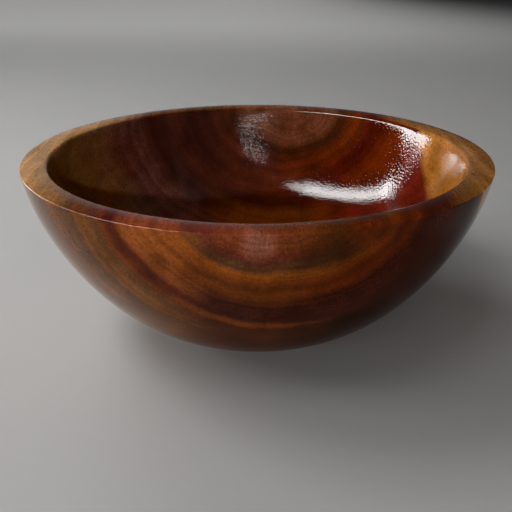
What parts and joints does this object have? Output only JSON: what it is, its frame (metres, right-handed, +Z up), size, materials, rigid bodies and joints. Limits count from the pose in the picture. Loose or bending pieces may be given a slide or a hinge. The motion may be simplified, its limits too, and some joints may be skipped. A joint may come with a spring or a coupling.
{
  "type": "wooden bowl",
  "caption": "Round lathe-turned wooden bowl with a broad, slightly crowned rim, a thick curved wall and a low foot ring on felt pads, for fruit, salad or loose things.",
  "frame": {"origin": "on the surface that the bowl stands on, under the middle of the bowl", "axes": "+Z up along the axis that the bowl was turned about; +Y runs along the wood's grain, away from the picture's viewer; +X to the viewer's right"},
  "size_m": [0.2598, 0.2598, 0.1053],
  "materials": {
    "lacquered_wood": "figured red-brown heartwood and tan sapwood under clear gloss lacquer",
    "felt": "pressed wool felt, matte"
  },
  "bodies": {
    "root": {"bowl_body": "lacquered_wood", "felt_pad_1": "felt", "felt_pad_2": "felt", "felt_pad_3": "felt", "felt_pad_4": "felt"}
  },
  "joints": []
}
